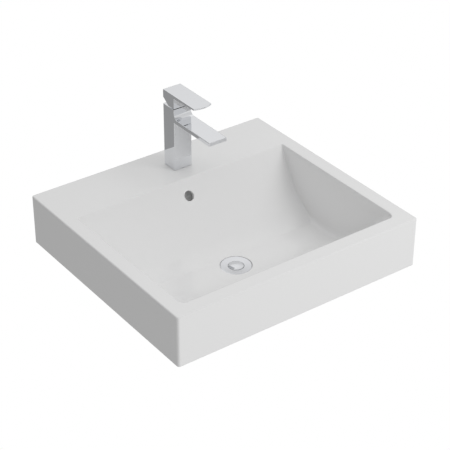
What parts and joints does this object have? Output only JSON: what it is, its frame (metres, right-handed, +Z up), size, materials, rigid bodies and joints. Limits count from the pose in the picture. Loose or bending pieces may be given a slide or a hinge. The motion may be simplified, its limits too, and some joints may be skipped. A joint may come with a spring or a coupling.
{
  "type": "countertop basin",
  "caption": "Rectangular countertop basin with a scooped bowl, overflow, single-lever mixer tap on the back deck and push-down waste.",
  "frame": {"origin": "on the counter, at the middle of the rectangle that the basin covers", "axes": "+X to the basin's right as its user sees it, +Y to the wall behind, +Z up"},
  "size_m": [0.55, 0.5, 0.3685],
  "materials": {
    "glazed_ceramic": "gloss",
    "tap_chrome": "polished",
    "waste_chrome": "polished",
    "brass": "machined",
    "steel": "plain",
    "white_plastic": "moulded",
    "grey_plastic": "moulded",
    "disc_ceramic": "lapped",
    "black_rubber": "matt"
  },
  "bodies": {
    "base": {"basin": "glazed_ceramic", "tap_body": "tap_chrome", "base_gasket": "black_rubber", "stream_former": "white_plastic", "former_seal": "black_rubber", "cartridge_seal": "black_rubber", "cartridge_base": "white_plastic", "fixed_disc": "disc_ceramic", "cartridge_housing": "white_plastic", "clamp_nut": "brass", "shroud_ring": "tap_chrome", "fixing_stud": "steel", "rubber_washer": "black_rubber", "steel_washer": "steel", "fixing_nut": "brass", "waste_body": "waste_chrome", "waste_top_seal": "black_rubber", "waste_cone_seal": "black_rubber", "waste_slip_washer": "white_plastic", "waste_back_nut": "brass", "click_body": "brass", "click_spring": "steel"},
    "swivel": {"cartridge_rotor": "white_plastic", "pivot_pin": "steel"},
    "lever": {"lever_handle": "tap_chrome", "lever_spindle": "brass", "grub_screw": "steel", "screw_cap": "grey_plastic"},
    "disc": {"disc_carrier": "white_plastic", "moving_disc": "disc_ceramic"},
    "plug": {"waste_plug": "waste_chrome", "plug_seal": "black_rubber", "plug_stem": "steel"}
  },
  "joints": [
    {"name": "lever_swivel", "type": "hinge", "parent": "base", "child": "swivel", "pos_m": [0.0245, 0.184, 0.226], "axis": [0, 0, 1], "range_deg": [-45, 45]},
    {"name": "lever_tilt", "type": "hinge", "parent": "swivel", "child": "lever", "pos_m": [0.0245, 0.184, 0.226], "axis": [-1, 0, 0], "range_deg": [0, 22]},
    {"name": "disc_slide", "type": "slide", "parent": "swivel", "child": "disc", "axis": [0, -1, 0], "range_m": [0, 0.0035]},
    {"name": "plug_push", "type": "slide", "parent": "base", "child": "plug", "axis": [0, 0, 1], "range_m": [-0.0015, 0.0085], "deforming": ["click_spring"]}
  ],
  "couplings": [
    {"joint": "disc_slide", "follows": "lever_tilt", "m_per_rad": 0.00878}
  ]
}
